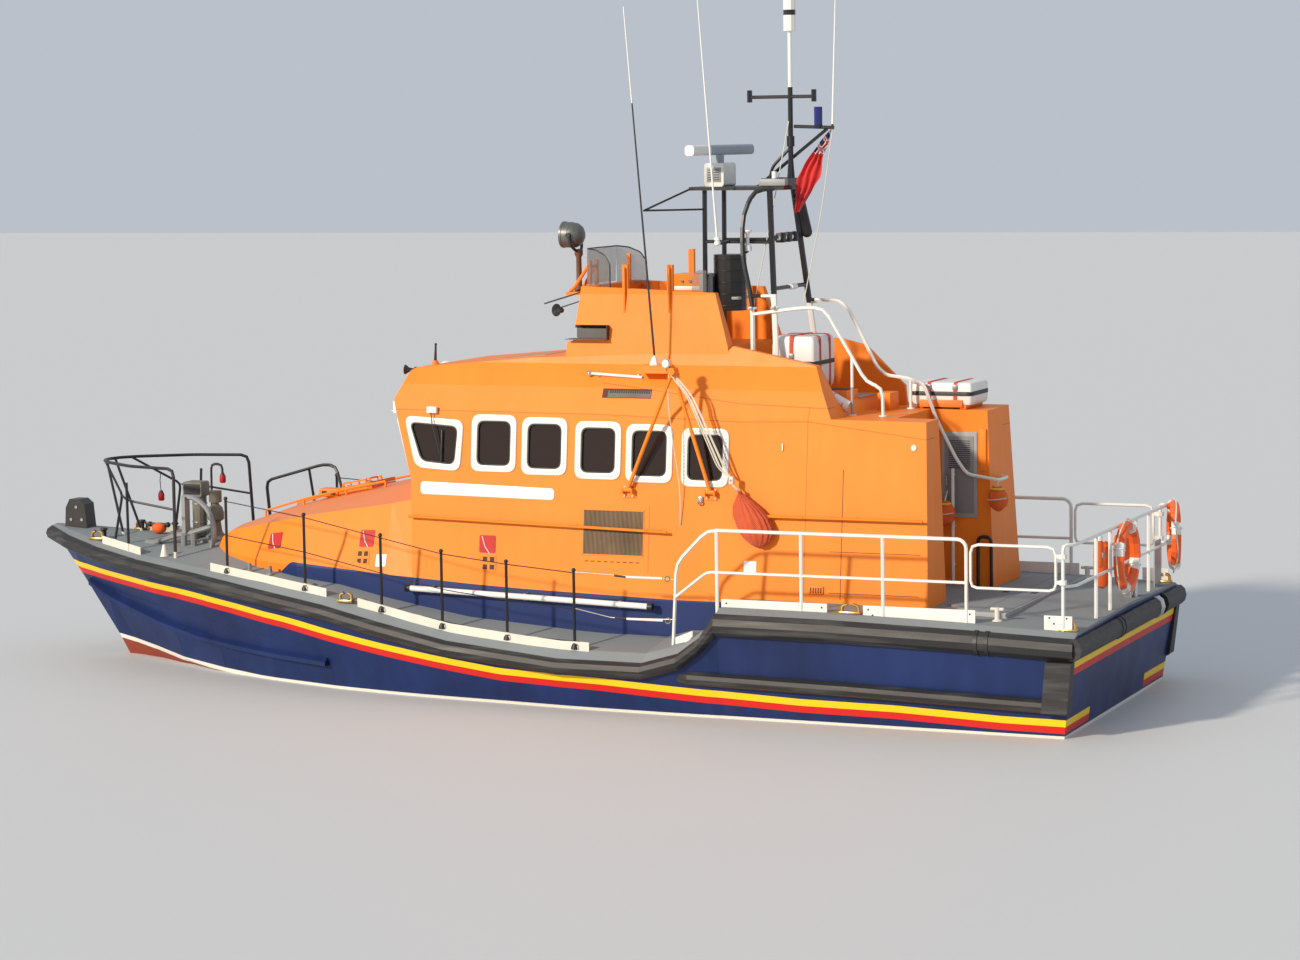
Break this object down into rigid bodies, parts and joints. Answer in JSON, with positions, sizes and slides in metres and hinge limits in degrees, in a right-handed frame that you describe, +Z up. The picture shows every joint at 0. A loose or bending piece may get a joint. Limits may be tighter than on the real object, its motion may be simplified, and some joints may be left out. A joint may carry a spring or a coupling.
{
  "type": "lifeboat",
  "caption": "All-weather rescue lifeboat with a keeled hull, orange wheelhouse, upper steering position, mast, rails and deck gear, afloat at its waterline.",
  "frame": {"origin": "amidships on the centreline at the waterline", "axes": "+X forward along the keel to the bow, +Y to port, +Z up"},
  "size_m": [14.4078, 4.67, 9.3853],
  "materials": {
    "hull_paint": "glossy navy paint",
    "deck_paint": "matt non-slip grey deck paint",
    "black_rubber": "weathered black fender rubber",
    "orange_paint": "semi-gloss orange paint",
    "white_paint": "gloss white paint",
    "black_paint": "semi-gloss black paint",
    "window_glass": "dark tinted glass",
    "cabin_trim": "matt dark grey trim",
    "gear_grey": "grey painted deck gear",
    "red_cloth": "woven red bunting",
    "white_plastic": "moulded white canister shell",
    "orange_plastic": "moulded orange shell with white bands",
    "bronze": "dull bronze",
    "steel": "plain stainless steel"
  },
  "bodies": {
    "boat": {"hull": "hull_paint", "foredeck": "deck_paint", "aft_deck": "deck_paint", "fender_upper": "black_rubber", "fender_lower_port": "black_rubber", "fender_lower_starboard": "black_rubber", "wheelhouse": "orange_paint", "window_frames_port": "white_paint", "window_frames_starboard": "white_paint", "window_frames_front": "white_paint", "window_glass_port": "window_glass", "window_glass_starboard": "window_glass", "window_glass_front": "window_glass", "cabin_floor": "cabin_trim", "helm_console": "cabin_trim", "crew_seats_port": "cabin_trim", "crew_seats_starboard": "cabin_trim", "louvre_grille_port": "gear_grey", "louvre_grille_starboard": "gear_grey", "trunk_cabin": "orange_paint", "trunk_rail": "black_paint", "flybridge": "orange_paint", "flybridge_console": "orange_paint", "flybridge_screen": "window_glass", "mast_frame": "black_paint", "mast_pole": "black_paint", "ensign": "red_cloth", "radar_pedestal": "white_paint", "whip_aerial_port": "black_paint", "liferaft_forward": "white_plastic", "liferaft_aft": "white_plastic", "lifeline_port": "black_paint", "lifeline_starboard": "black_paint", "aft_rail_port": "white_paint", "aft_rail_starboard": "white_paint", "stern_rail": "white_paint", "lifebuoy_port": "orange_plastic", "lifebuoy_starboard": "orange_plastic", "bow_rail": "black_paint", "bow_roller": "black_paint", "windlass": "gear_grey", "capstan_base": "gear_grey", "anchor": "gear_grey", "shaft_port": "steel", "shaft_starboard": "steel"},
    "aft_door": {"aft_door": "white_paint"},
    "trunk_hatch": {"trunk_hatch": "orange_paint"},
    "searchlight": {"searchlight": "gear_grey"},
    "radar_scanner": {"radar_scanner": "white_paint"},
    "davit": {"davit_frame": "orange_paint"},
    "gate_port": {"rail_gate_port": "white_paint"},
    "gate_starboard": {"rail_gate_starboard": "white_paint"},
    "capstan": {"capstan_drum": "gear_grey"},
    "propeller_port": {"propeller_port": "bronze"},
    "propeller_starboard": {"propeller_starboard": "bronze"},
    "rudder_port": {"rudder_port": "hull_paint"},
    "rudder_starboard": {"rudder_starboard": "hull_paint"}
  },
  "joints": [
    {"name": "aft_door_hinge", "type": "hinge", "parent": "boat", "child": "aft_door", "pos_m": [-4.625, 0.265, 2.2], "axis": [0, 0, -1], "range_deg": [0, 95]},
    {"name": "trunk_hatch_hinge", "type": "hinge", "parent": "boat", "child": "trunk_hatch", "pos_m": [2.97587, 0, 2.15609], "axis": [0, 1, 0], "range_deg": [0, 100]},
    {"name": "searchlight_pan", "type": "hinge", "parent": "boat", "child": "searchlight", "pos_m": [-0.36, 0, 4.9], "axis": [0, 0, 1], "range_deg": [-170, 170]},
    {"name": "radar_spin", "type": "hinge", "parent": "boat", "child": "radar_scanner", "pos_m": [-2.18, 0, 6.2], "axis": [0, 0, 1], "continuous": true},
    {"name": "davit_swing", "type": "hinge", "parent": "boat", "child": "davit", "pos_m": [-2.05, 1.365, 2.455], "axis": [-1, 0, 0], "range_deg": [0, 85]},
    {"name": "gate_port_hinge", "type": "hinge", "parent": "boat", "child": "gate_port", "pos_m": [-6.88, 2.03, 1.8], "axis": [0, 0, -1], "range_deg": [0, 90]},
    {"name": "gate_starboard_hinge", "type": "hinge", "parent": "boat", "child": "gate_starboard", "pos_m": [-6.88, -2.03, 1.8], "axis": [0, 0, 1], "range_deg": [0, 90]},
    {"name": "capstan_spin", "type": "hinge", "parent": "boat", "child": "capstan", "pos_m": [4.7, 0, 1.8], "axis": [0, 0, 1], "continuous": true},
    {"name": "propeller_port_spin", "type": "hinge", "parent": "boat", "child": "propeller_port", "pos_m": [-5.27, 1, -0.86], "axis": [0.9921, 0, 0.1256], "continuous": true},
    {"name": "propeller_starboard_spin", "type": "hinge", "parent": "boat", "child": "propeller_starboard", "pos_m": [-5.27, -1, -0.86], "axis": [0.9921, 0, 0.1256], "continuous": true},
    {"name": "rudder_port_turn", "type": "hinge", "parent": "boat", "child": "rudder_port", "pos_m": [-5.88, 1, -0.9], "axis": [0, 0, 1], "range_deg": [-35, 35]},
    {"name": "rudder_starboard_turn", "type": "hinge", "parent": "boat", "child": "rudder_starboard", "pos_m": [-5.88, -1, -0.9], "axis": [0, 0, 1], "range_deg": [-35, 35]}
  ],
  "couplings": [
    {"joint": "rudder_starboard_turn", "follows": "rudder_port_turn", "ratio": 1}
  ]
}
